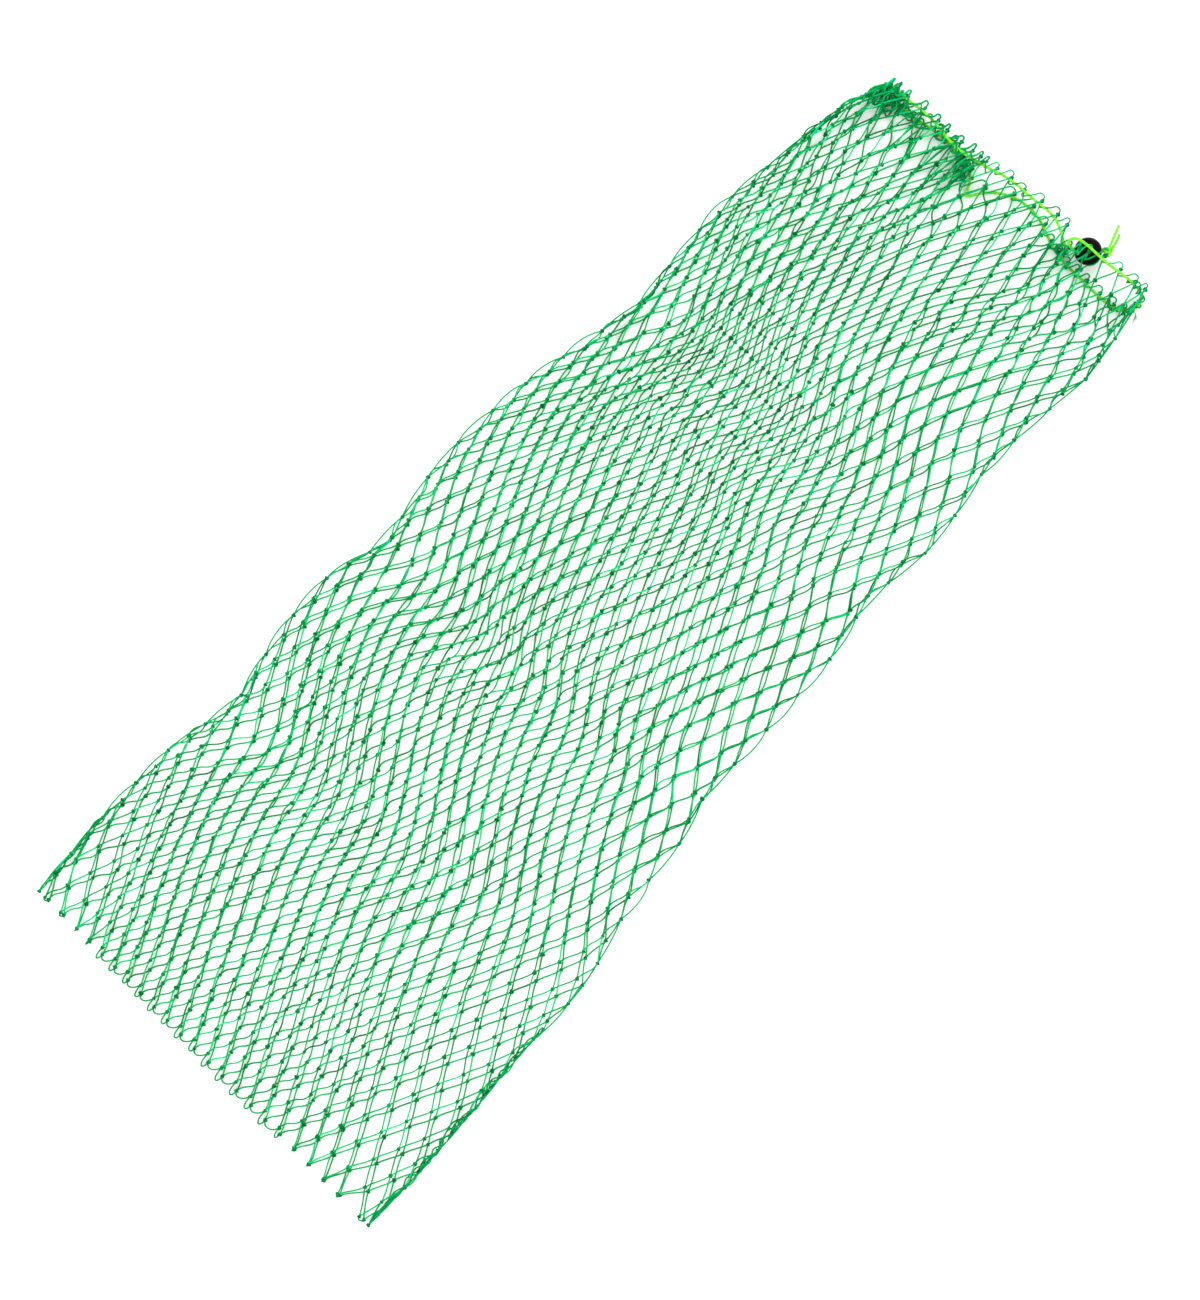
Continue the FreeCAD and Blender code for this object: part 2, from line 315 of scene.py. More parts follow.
def twine_material(name, dark, middle, light, roughness, pitch=1.1, strands=3):
    """Twisted shiny twine: its tone varies at random from bar to bar, and painted shade darkens the grooves
    between the strands along it, with lighter ridges.
    """
    material, tree, shader = node_material(name)
    shade = add_node(tree, "ShaderNodeAttribute", attribute_name="shade")
    twist = twist_height(tree, pitch, strands)
    # Painted shade in the grooves, laid over each bar's tone
    mixed = add_node(tree, "ShaderNodeMath", operation="MULTIPLY_ADD")
    mixed.inputs[1].default_value = GROOVE_PAINTED_SHADE
    tree.links.new(twist, mixed.inputs[0])
    tree.links.new(shade.outputs["Fac"], mixed.inputs[2])
    colour = colour_ramp(tree, mixed.outputs[0], [(0.0, dark), (0.5, middle), (1.0, light)])
    tree.links.new(colour, shader.inputs["Base Color"])
    shader.inputs["Roughness"].default_value = roughness
    shader.inputs["Specular IOR Level"].default_value = 0.04
    add_bump(tree, shader, twist, 0.6)
    return material


def bead_material():
    """Glossy moulded black with faint handling marks."""
    material, tree, shader = node_material("bead_black")
    noise = add_node(tree, "ShaderNodeTexNoise")
    noise.inputs["Scale"].default_value = 900
    noise.inputs["Detail"].default_value = 4
    place = add_node(tree, "ShaderNodeTexCoord")
    tree.links.new(place.outputs["Object"], noise.inputs["Vector"])
    colour = colour_ramp(tree, noise.outputs["Fac"],
                         [(0.35, (0.002, 0.002, 0.002)), (0.75, (0.006, 0.005, 0.005))])
    tree.links.new(colour, shader.inputs["Base Color"])
    rough = add_node(tree, "ShaderNodeMapRange")
    rough.inputs["To Min"].default_value = 0.07
    rough.inputs["To Max"].default_value = 0.2
    tree.links.new(noise.outputs["Fac"], rough.inputs["Value"])
    tree.links.new(rough.outputs["Result"], shader.inputs["Roughness"])
    shader.inputs["Specular IOR Level"].default_value = 0.012
    add_bump(tree, shader, noise.outputs["Fac"], 0.05)
    return material


TWINE = twine_material("twine_green", (0.0, 0.11, 0.018), (0.0, 0.35, 0.082), (0.002, 0.64, 0.22), 0.5)
CORD = twine_material("cord_lime", (0.05, 0.36, 0.008), (0.145, 0.64, 0.018), (0.34, 0.90, 0.08), 0.45,
                      pitch=CORD_TWIST, strands=4)
BEAD = bead_material()


# ---------------------------------------------------------------- the netting's knots

def fold_phase(row):
    """How far round the tube the side knots have crept from the fold, in meshes. It falls up the bag from
    the closed end, wanders a little, and is 0 at the mouth."""
    wander = 0.06 * np.sin(2 * math.pi * row / 37) * smooth(row, 2, 12)
    return (0.158 - 0.1 * smooth(row, 0, 14) + wander) * smooth(ROWS - row, 0, 8)


def pinch(station, pinches):
    """How strongly a side's meshes are drawn together at each station."""
    return sum(much * np.exp(-((station - middle) / width) ** 2) for middle, width, much in pinches)


def tied(x):
    """1 where the closed end's twine runs in open loops, 0 near its corners, where it ties each upper end
    knot to the lower one."""
    return smooth(x, -78, -58) * smooth(x, 56, 38)


class Knots:
    """Every knot of the netting: its row, which layer it is in, its share of the way across, its place."""

    def __init__(self):
        row, column = np.meshgrid(np.arange(ROWS + 1), np.arange(AROUND), indexing="ij")
        turn = np.mod(column + 0.5 * (row % 2) - fold_phase(row), AROUND)
        self.row, self.upper, self.turn = row, turn < ACROSS, turn
        self.share = np.where(self.upper, turn, AROUND - turn) / ACROSS
        self.place_knots()
        self.relax()
        self.raise_knots()

    def place_knots(self):
        """Rows from the closed end to the mouth, spread between the sides and along the drawstring."""
        share, rise = self.share, self.row / ROWS
        side = np.where(self.upper, 1.0, -1.0)
        places = np.linspace(0, 1, ACROSS + 1)
        upper_x, upper_s = (np.interp(share, places, part) for part in np.array(UPPER_END).T)
        lower_x, lower_s = (np.interp(share, places, part) for part in np.array(LOWER_END).T)
        end_x, end_s = np.where(self.upper, upper_x, lower_x), np.where(self.upper, upper_s, lower_s)
        smile = SMILE * (2 * share - 1) ** 2 * 4 * rise * (1 - rise)
        # hump goes from 0 at the sides to 1 at its peak, which is left of the middle near the mouth
        peak = 0.5 - 0.25 * smooth(rise, 0.6, 0.9)
        hump = (smooth(share / peak) * smooth((1 - share) / (1 - peak))) ** 0.8
        mouth = MOUTH_STATION + MOUTH_SLOPE * end_x + side * (0.3 + 2.4 * hump)
        mouth = mouth + smooth(self.row, ROWS - 5, ROWS) * (end_s - mouth)
        along = smooth(self.row, 2, 16) * smooth(ROWS - self.row, 0, 12)
        station = rise * 505.0        # a first guess, which the rounds below correct
        for _ in range(5):
            x = self.across(share, station, end_x, smooth(rise, *MOUTH_BLEND))
            apart = np.where(self.row == 0, side * tied(x) - (1 - tied(x)), side)
            start = END_SLOPE * x + apart * END_APART
            station = start + rise * (mouth - start) + side * MIDDLE_APART * hump * along + smile
        free = smooth(self.row, 0, 5) * smooth(ROWS - self.row, 0, 5)
        inside = smooth(np.minimum(share, 1 - share), 0, 0.13)
        together = np.where(self.row == 0, 1 - tied(x), 0) * inside
        x = x + together * np.where(self.upper, 2.1, -0.3)
        self.x = x + free * inside * WAVE_X * self.tube_waves()
        self.s = station + free * WAVE_S * self.tube_waves()

    def tube_waves(self, count=7):
        """A smooth random shift, from about -1 to 1, that runs on round the folds."""
        angle, total = self.turn * 2 * math.pi / AROUND, 0
        for _ in range(count):
            first, second = rng.uniform(0, 2 * math.pi, 2)
            times, length = rng.integers(1, 5), rng.uniform(130, 330)
            along = self.row * ROW_PITCH * 2 * math.pi / length
            total = total + np.cos(times * angle + first) * np.sin(along + second)
        return total / math.sqrt(count)

    def across(self, share, station, end_x, near_mouth):
        """Across position for a share of the way from the left side to the right one. Meshes get wider
        to the right, and the ones by a pinch in the outline get narrower."""
        left = side_x(LEFT_SIDE, station) + FOLD_INSET
        right = side_x(RIGHT_SIDE, station) - FOLD_INSET
        wider = WIDER + 0.12 * smooth(station, 230, 400) + 0.07 * smooth(station, 420, 500)
        spread = share * (1 - wider + wider * share)
        spread = spread + ((end_x - MOUTH_LEFT) / MOUTH_WIDTH - spread) * near_mouth
        x = left + spread * (right - left)
        for edge, away, pinches in ((left, 1, LEFT_PINCHES), (right, -1, RIGHT_PINCHES)):
            inside = np.clip((x - edge) * away, 0, None)
            power = 0.15 + 1.1 * np.clip(pinch(station, pinches), 0, 1.9)
            drawn = inside * np.clip(inside / PINCH_REACH, 0, 1) ** power
            x = np.where(inside < PINCH_REACH, edge + away * drawn, x)
        return x

    def relax(self, rounds=60):
        """Pulls knots that stand further apart than a bar back together."""
        a, b = bar_ends()
        x, s = self.x.ravel().copy(), self.s.ravel().copy()
        home_x, home_s = x.copy(), s.copy()
        row, share = self.row.ravel(), self.share.ravel()
        pinned = (row == 0) | (row == ROWS)
        hold = np.where(pinned, 1.0, 0.02)
        hold_x = np.where((share < 0.02) | (share > 0.98), 0.9, hold)
        for _ in range(rounds):
            dx, ds = x[b] - x[a], s[b] - s[a]
            length = np.hypot(dx, ds) + 1e-9
            push = 0.45 * np.clip(length - BAR * 0.99, 0, None) / length
            for end, sign in ((a, 1), (b, -1)):
                np.add.at(x, end, sign * push * dx * 0.5)
                np.add.at(s, end, sign * push * ds * 0.5)
            x += (home_x - x) * hold_x
            s += (home_s - s) * hold
        self.x, self.s = x.reshape(self.x.shape), s.reshape(self.s.shape)

    def raise_knots(self):
        """Heights: the layers meet at the sides, and the upper one sags between them."""
        left, right = side_x(LEFT_SIDE, self.s), side_x(RIGHT_SIDE, self.s)
        inside = np.clip(np.minimum(self.x - left, right - self.x) - FOLD_INSET, 0, None)
        middle = (UPPER_Z + LOWER_Z) / 2
        opening = np.sqrt(np.clip(inside / FOLD_REACH, 0, 1))
        sag = UPPER_SAG * smooth(inside, 4, 45) * smooth(ROWS - self.row, 0, 14)
        top = UPPER_Z - sag + 0.45 * self.tube_waves() - 3.4 * (1 - smooth(self.row, 0, 5))
        top = top - 0.9 * (1 - smooth(ROWS - self.row, 0, 3))
        low = LOWER_Z + 0.3 * np.abs(self.tube_waves())
        edge = middle - 1.6 * (1 - smooth(self.row, 0, 6))
        self.z = np.where(self.upper, edge + (top - edge) * opening, edge + (low - edge) * opening)
        self.z = np.where(self.row == ROWS, np.where(self.upper, UPPER_END_Z, LOWER_END_Z), self.z)
        from_hole = np.hypot(self.x - BEAD_CENTRE[0], self.s - BEAD_CENTRE[1])
        surface = BEAD_CENTRE[2] + np.sqrt(np.clip(BEAD_R ** 2 - from_hole ** 2, 0, None))
        on_bead = surface + KNOT_ON_BEAD
        self.z = np.where((self.row == ROWS) & self.upper & (from_hole < BEAD_R), on_bead, self.z)

    def points(self):
        return np.stack([self.x, self.s, self.z], axis=-1).reshape(-1, 3)


def bar_ends():
    """Knot numbers at the lower and upper end of every bar."""
    starts, stops = [], []
    column = np.arange(AROUND)
    for row in range(ROWS):
        lean = (0, -1) if row % 2 == 0 else (0, 1)
        for step in lean:
            starts.append(row * AROUND + column)
            stops.append((row + 1) * AROUND + np.mod(column + step, AROUND))
    return np.concatenate(starts), np.concatenate(stops)


# ---------------------------------------------------------------- the netting's twine

def bar_lines(knots, a, b):
    """The curve of each bar. Part of its slack is taken up by an S, in which it leaves its lower knot
    steeply, and the rest by a bow. Right-leaning bars have more of the S. Those of the last row go over
    the drawstring, and the others under it."""
    points = knots.points()
    start, stop = points[a], points[b]
    gap = stop - start
    length = np.linalg.norm(gap, axis=1)
    slack = np.clip(BAR * 1.004 / length - 1, 0.0015, 1.5)
    right_leaning = gap[:, 0] > 0
    most = (0.028 + 0.024 * smooth(start[:, 1], 190, 20)) * length
    share = np.where(right_leaning, rng.uniform(0.6, 0.95, len(a)), rng.uniform(0.02, 0.3, len(a)))
    swing = np.minimum(length / math.pi * np.sqrt(slack * share), most * np.where(right_leaning, 1, 0.4))
    spare = np.clip(slack - (math.pi * swing / length) ** 2, 0, None)
    bow = 2 * length / math.pi * np.sqrt(spare) * rng.choice([-1, 1], len(a))
    most_bow = np.where(slack > 0.15, 1.2, np.where(right_leaning, 0.45, 0.3))
    bow = np.clip(bow, -most_bow, most_bow)
    flat = np.cross(np.broadcast_to(UP, gap.shape), gap)
    flat /= np.linalg.norm(flat, axis=1, keepdims=True) + 1e-9
    t = np.linspace(0, 1, BAR_STEPS + 1)[None, :]
    off = (swing * np.sign(gap[:, 0]))[:, None] * np.sin(2 * math.pi * t)
    off = off + bow[:, None] * np.sin(math.pi * t)
    line = start[:, None] + gap[:, None] * t[:, :, None] + off[:, :, None] * flat[:, None]
    lift = rng.uniform(-0.2, 0.4, len(a)) + np.clip(slack, 0, 0.8) * rng.uniform(-2, 3, len(a))
    line[:, :, 2] += lift[:, None] * np.sin(math.pi * t)
    over_cord = np.where(right_leaning, 1.6, -1.0) * (knots.row.ravel()[b] == ROWS)
    line[:, :, 2] += over_cord[:, None] * np.exp(-((t - CORD_CROSSING) / 0.16) ** 2)
    line[:, :, 2] = np.clip(line[:, :, 2], LOWEST, HIGHEST)
    return clear_bead(line)


def clear_bead(line):
    """Netting that lies against the bead is laid over its surface."""
    reach = BEAD_R + TWINE_ON_BEAD
    from_centre = line - BEAD_CENTRE
    distance = np.linalg.norm(from_centre, axis=-1, keepdims=True)
    return np.where(distance < reach, BEAD_CENTRE + from_centre / distance * reach, line)


def bezier(p0, p1, p2, p3, steps):
    t = np.linspace(0, 1, steps + 1)[None, :, None]
    p0, p1, p2, p3 = (p[:, None] for p in (p0, p1, p2, p3))
    return (1 - t) ** 3 * p0 + 3 * (1 - t) ** 2 * t * p1 + 3 * (1 - t) * t * t * p2 + t ** 3 * p3


def through(points, steps):
    """Smooth curves through rows of points (Catmull-Rom), with steps between two of them."""
    before = 2 * points[:, :1] - points[:, 1:2]
    after = 2 * points[:, -1:] - points[:, -2:-1]
    padded = np.concatenate([before, points, after], axis=1)
    pieces = []
    for i in range(points.shape[1] - 1):
        p0, p1, p2, p3 = (padded[:, i + j] for j in range(4))
        pieces.append(bezier(p1, p1 + (p2 - p0) / 6, p2 - (p3 - p1) / 6, p2, steps)[:, :-1])
    return np.concatenate(pieces + [points[:, -1:]], axis=1)


def end_loops(knots):
    """The twine that closes the bag. It joins each upper end knot to the lower one beside it by a narrow
    loop, and that one to the next upper knot by a wide one. Near the corners it only ties each pair."""
    points = knots.points()[:AROUND]
    order = np.argsort(points[:, 0])
    chain, upper = points[order], knots.upper[0][order]
    narrow = upper[:-1] & ~upper[1:]
    kept = narrow | (tied(chain[:-1, 0]) > 0.5)
    start, stop, narrow = chain[:-1][kept], chain[1:][kept], narrow[kept][:, None]
    depth = (0.12 + 0.88 * tied(start[:, :1])) * rng.uniform(0.8, 1.2, (len(start), 1))
    out, cross = np.array([0, -1.0, -0.1]), np.array([1.0, 0, 0])
    from_start = np.where(narrow, out * (1.4 + 5.2 * depth) - cross * 0.3, out * 3.2 + cross * 1.0)
    from_stop = np.where(narrow, out * (0.6 + 3.8 * depth) + cross * 0.3, out * 4.0 - cross * 1.3)
    return bezier(start, start + from_start, stop + from_stop, stop, 11)


def edge_bundle(side, low, high, strands, radius):
    """Slack twine wound along a stretch of one side."""
    station = np.linspace(low, high, int((high - low) * 1.2))
    t = np.linspace(0, 1, len(station))
    inward = 1 if side is LEFT_SIDE else -1
    lines = []
    for strand in range(strands):
        angle = station / 2.3 + 2 * math.pi * strand / strands + 0.8 * np.sin(station / 7 + strand)
        uneven = 0.65 + 0.3 * np.sin(station / 5 + 2 * strand)
        reach = radius * (0.35 + np.sin(math.pi * t) ** 0.5 * uneven)
        across = side_x(side, station) + inward * (FOLD_INSET + reach * (0.5 + np.cos(angle)))
        height = 2.6 + 1.6 * smooth(station, 0, 60) + reach * np.sin(angle)
        lines.append(np.stack([across, station, height], -1))
    return np.array(lines)


def tangle(centre, size, loops, count):
    """Bunched twine: long curves that wind about a centre within an egg-shaped space."""
    t = np.linspace(0, 2 * math.pi, loops * 22)
    lines = []
    for _ in range(count):
        phase = rng.uniform(0, 2 * math.pi, 6)
        reach = 0.75 + 0.25 * np.sin(3 * t + phase[3])
        x = np.sin(loops * t + phase[0]) * reach
        s = np.sin((loops + 1) * t + phase[1]) * (0.7 + 0.3 * np.sin(2 * t + phase[4]))
        z = np.sin((loops - 1) * t + phase[2]) * (0.7 + 0.3 * np.sin(5 * t + phase[5]))
        lines.append(np.array(centre) + np.stack([x, s, z], axis=-1) * np.array(size))
    line = np.array(lines)
    line[:, :, 2] = np.maximum(line[:, :, 2], LOWEST)
    return line


def pleats(knots, row, low, high):
    """Stand-in twine for the meshes crowded under the drawstring: from one row's knots up to it, in steep
    bows."""
    foot = knots.points().reshape(ROWS + 1, AROUND, 3)[row]
    foot = foot[(foot[:, 0] > low) & (foot[:, 0] < high)]
    count = len(foot)
    across = foot[:, 0] + rng.choice([-4.5, 4.0], count) + rng.uniform(-1.5, 1.5, count)
    top = np.stack([across, PLEAT_STATION + PLEAT_SLOPE * across, rng.uniform(1.8, 5.5, count)], axis=-1)
    run = top - foot
    bow = np.outer(rng.uniform(0.4, 1.5, count), [1.0, 0, 0])
    return bezier(foot, foot + 0.3 * run + bow, foot + 0.7 * run - bow, top, 10)


def side_lacing(knots, column):
    """The twine that joins the layers along one side: a slack stretch between every two side knots."""
    points = knots.points().reshape(ROWS + 1, AROUND, 3)[::2, column]
    start, stop = points[:-1], points[1:]
    outward = -1.0 if column == 0 else 1.0
    drawn = pinch(start[:, 1] + 10, LEFT_PINCHES if column == 0 else RIGHT_PINCHES)[:, None]
    bow = rng.uniform(0.7, 3.0, (len(start), 1)) * (1 - 0.6 * np.clip(drawn, 0, 1))
    bow = bow * (1 - 0.8 * smooth(start[:, 1:2], 400, 450))
    out = np.array([outward, 0, 0]) * bow
    run = stop - start
    lean = rng.uniform(0.2, 0.4, (len(start), 1))
    return bezier(start, start + run * lean + out, stop - run * (0.6 - lean) + out, stop, 14)


# A hook's points, (across, along, up) from the knot on its right, and then from the one on its left
HOOK = [(0, 0, 0), (-0.6, 1.7, 0.9), (-2.8, 1.6, 1.7), (-4.5, -0.8, 1.9)]
HOOK_END = [(0.9, -2.6, -0.6), (0.1, -0.2, 0.0)]


def mouth_loops(knots):
    """The end meshes: from each end knot a hook goes up and over the drawstring towards the knot on its
    left, and passes under the drawstring to reach it."""
    points = knots.points()[-AROUND:]
    lines = []
    for layer in (knots.upper[-1], ~knots.upper[-1]):
        chain = points[layer][np.argsort(knots.share[-1][layer])]
        left, right = chain[:-1], chain[1:]
        gap = left - right
        crowded = smooth(right[:, :1], *CROWDED_HOOKS)
        wide = np.clip(np.abs(gap[:, :1]) / 8, 0.35, 1.0) * (1 - 0.3 * crowded)
        high = rng.uniform(0.75, 1.3, (len(left), 1)) * (1 + 0.35 * crowded)
        size = np.hstack([wide, high, np.ones_like(high)])
        path = [right + np.array(step) * size for step in HOOK]
        path.extend(left + np.array(step) for step in HOOK_END)
        lines.append(through(np.stack(path, axis=1), 4))
    line = np.concatenate(lines)
    line[:, :, 2] = np.clip(line[:, :, 2], LOWEST, HIGHEST)
    return clear_bead(line)


def knot_template():
    """One netting knot: a small wound lump, as a closed tube along a trefoil."""
    t = np.linspace(0, 2 * math.pi, 19)[None, :]
    line = np.stack([np.sin(t) + 2 * np.sin(2 * t), 1.25 * (np.cos(t) - 2 * np.cos(2 * t)),
                     -1.1 * np.sin(3 * t)], axis=-1) * (KNOT_R / 3.4)
    return tubes(line, TWINE_R * 1.05, 4)


KNOT_VERTS, KNOT_QUADS, KNOT_COORDS = knot_template()


def knot_lumps(places, shade):
    """Netting knots at many places, each turned and sized a little differently."""
    count = len(places)
    heading, size = rng.uniform(0, 2 * math.pi, count), rng.uniform(0.9, 1.2, count)
    tip = rng.uniform(-0.5, 0.5, count)
    c, s, ct, st = np.cos(heading), np.sin(heading), np.cos(tip), np.sin(tip)
    zero = np.zeros(count)
    turn = np.stack([np.stack([c, -s * ct, s * st], -1), np.stack([s, c * ct, -c * st], -1),
                     np.stack([zero, st, ct], -1)], 1) * size[:, None, None]
    verts = np.einsum("nij,vj->nvi", turn, KNOT_VERTS) + places[:, None]
    verts[:, :, 2] = np.maximum(verts[:, :, 2], 0.02)
    offset = np.arange(count)[:, None, None] * len(KNOT_VERTS)
    quads = (KNOT_QUADS[None] + offset).reshape(-1, 4)
    return verts.reshape(-1, 3), quads, np.tile(KNOT_COORDS, (count, 1)), np.repeat(shade, len(KNOT_VERTS))


def region_name(row, upper, share, x, loop):
    """The piece of netting that a bar or knot belongs to, by where it is."""
    side = "left" if x < GATHER_SPLIT else "right"
    layer = "upper" if upper else "lower"
    if row >= ROWS - BUNCH_ROWS and x < LEFT_BUNCH_X:
        return "net_left_bunch"
    if row >= ROWS - RIM_ROWS and x > RIGHT_BUNCH_X:
        return "net_right_bunch"
    if row >= ROWS - RIM_ROWS or loop:
        return f"net_rim_{layer}_{side}"
    half = "closed_half" if row < GATHER_ROW else "mouth_half"
    if min(share, 1 - share) < FOLD_SHARE:
        return f"net_{'left' if share < 0.5 else 'right'}_fold_{half}"
    if row < GATHER_ROW:
        return f"net_{layer}_closed_half"
    return f"net_{layer}_mouth_half_{side}"


# The CAD node that a piece stands for. Where a layer, a fold or a rim has several pieces, one of them
# stands for its node.
REPLACED = {
    "net_left_bunch": ["net_mouth_left_bunch"],
    "net_right_bunch": ["net_mouth_right_bunch"],
    "net_end_loops": ["net_closed_end"],
    "net_rim_upper_left": ["net_mouth_rim_upper"],
    "net_rim_lower_left": ["net_mouth_rim_lower"],
    "net_left_fold_closed_half": ["net_left_fold"],
    "net_right_fold_closed_half": ["net_right_fold"],
    "net_upper_closed_half": ["net_upper_layer"],
    "net_lower_closed_half": ["net_lower_layer"],
}


def gather(piece, name):
    """Pieces of the closed half and the end loops are put on the bag; the rest have their transforms baked
    where they lie.
    """
    if "closed_half" in name or name == "net_end_loops":
        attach(piece, "bag")
        return
    right = name.endswith("right") or name.startswith("net_right")
    start, end = RIGHT_GATHER if right else LEFT_GATHER
    tuple(at([*start, 0.0]))
    tuple(at([*end, 0.0]))
    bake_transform(piece)


def whipping(path, turns, radius):
    """Twine wound loosely round a stretch of the drawstring."""
    line = even(path, 0.1)
    t = np.linspace(0, 1, len(line))
    side, other = frames(line[None])
    angle = 2 * math.pi * turns * (t + 0.02 * np.sin(9 * t))
    reach = radius * (1 + 0.25 * np.sin(23 * t + radius))
    wound = line + reach[:, None] * (side[0] * np.cos(angle)[:, None] + other[0] * np.sin(angle)[:, None])
    wound[:, 2] = np.maximum(wound[:, 2], LOWEST)
    return wound[None]


def frayed_end():
    """The lacing twine's cut end at the right corner, parted into a few thin yarns."""
    root = np.array([72.6, 505.4, 3.2])
    lines = []
    for spread in (-0.9, -0.35, 0.2, 0.8):
        tip = root + np.array([3.1 + 0.3 * spread, -2.6 + 1.5 * spread, -1.6])
        lines.append([root, root + np.array([1.3, -0.4 + 0.1 * spread, 0.3]), tip])
    return through(np.array(lines), 6)


# Shades of the twine, from 0, dark, to 1, light
# Painted shade: the knots are set far darker than the bars of the same twine, for the shade inside their
# wound lumps
BAR_SHADE, KNOT_PAINTED_SHADE = 0.52, 0.16
# Painted shade: the corners, bunches and windings are set darker than the bars, for the shade among their
# crowded strands
CORNER_PAINTED_SHADE, BUNCH_PAINTED_SHADE, WINDING_PAINTED_SHADE = 0.4, 0.36, 0.3
PLEAT_SHADE, END_SHADE, YARN_SHADE, LACING_SHADE = 0.45, 0.35, 0.2, 0.5


def add_twine(heaps, name, lines, shade):
    """Twine in one shade, added to the piece of that name."""
    verts, quads, coords = tubes(lines, np.full(lines.shape[:2], TWINE_R), TWINE_SIDES)
    heaps.setdefault(name, Heap()).add(verts, quads, coords, shade)


def add_regions(heaps, lines, rows, uppers, shares, loop):
    """Bars or hooks, each added to the piece for its place and in its own shade: a random tone, a little
    lighter on the upper layer as painted light and a little darker on the lower one as painted shade. The
    crowded hooks left of the drawstring's fold are thicker, for doubled twine."""
    # Painted light and shade: the upper layer's bars are set 0.03 lighter and the lower layer's 0.03 darker;
    # the rest of the spread is random tone
    shade = np.clip(rng.normal(BAR_SHADE, 0.17, len(lines)) + 0.06 * (uppers - 0.5), 0.05, 0.98)
    names = [region_name(*facts, loop) for facts in zip(rows, uppers, shares, lines[:, 0, 0])]
    for name in sorted(set(names)):
        chosen = np.array([n == name for n in names])
        thick = 1 + 0.35 * loop * smooth(lines[chosen][:, :1, 0], *CROWDED_HOOKS)
        radius = np.broadcast_to(TWINE_R * thick, lines[chosen].shape[:2])
        verts, quads, coords = tubes(lines[chosen], radius, TWINE_SIDES)
        shades = np.repeat(shade[chosen], lines.shape[1] * TWINE_SIDES)
        heaps.setdefault(name, Heap()).add(verts, quads, coords, shades)


def add_bunches(heaps, knots):
    """The crowded twine at the mouth: windings round the drawstring, tangles and pleats."""
    # The windings, corner bunches and tangles take darker tones as painted shade among their crowded strands
    right_corner = RIGHT_LINE[RIGHT_LINE[:, 0] > 61]
    left_corner = LEFT_LINE[LEFT_LINE[:, 0] < -63]
    left_half = LEFT_LINE[(LEFT_LINE[:, 0] > -67) & (LEFT_LINE[:, 0] < -15)]
    front = left_half[left_half[:, 2] > 5]
    back = left_half[(left_half[:, 2] < 1.8) & (left_half[:, 0] < -20)]
    for turns, radius in ((7, 1.1), (4, 1.8)):
        add_twine(heaps, "net_right_bunch", whipping(right_corner, turns, radius), CORNER_PAINTED_SHADE)
    for turns, radius in ((8, 1.0), (5, 1.7)):
        add_twine(heaps, "net_left_bunch", whipping(left_corner, turns, radius), CORNER_PAINTED_SHADE)
    at_corner = tangle((-67.3, 499.2, 3.6), (6.0, 6.2, 2.6), 3, 2)
    add_twine(heaps, "net_left_bunch", at_corner, BUNCH_PAINTED_SHADE)
    by_corner = tangle((-58.0, 501.6, 2.2), (4.6, 2.6, 1.6), 3, 1)
    add_twine(heaps, "net_rim_lower_left", by_corner, BUNCH_PAINTED_SHADE)
    add_twine(heaps, "net_rim_upper_left", whipping(front, 7, 1.8), WINDING_PAINTED_SHADE)
    add_twine(heaps, "net_rim_lower_left", whipping(back, 9, 1.5), WINDING_PAINTED_SHADE)
    add_twine(heaps, "net_rim_lower_left", pleats(knots, ROWS - 2, -73, -22), PLEAT_SHADE)
    at_fold = tangle((-22.6, 501.0, 3.0), (3.4, 5.0, 2.0), 3, 1)
    add_twine(heaps, "net_rim_lower_left", at_fold, BUNCH_PAINTED_SHADE)
    below_bead = tangle((32.0, 503.4, 2.6), (3.2, 2.6, 1.8), 2, 2)
    add_twine(heaps, "net_rim_lower_left", below_bead, BUNCH_PAINTED_SHADE)


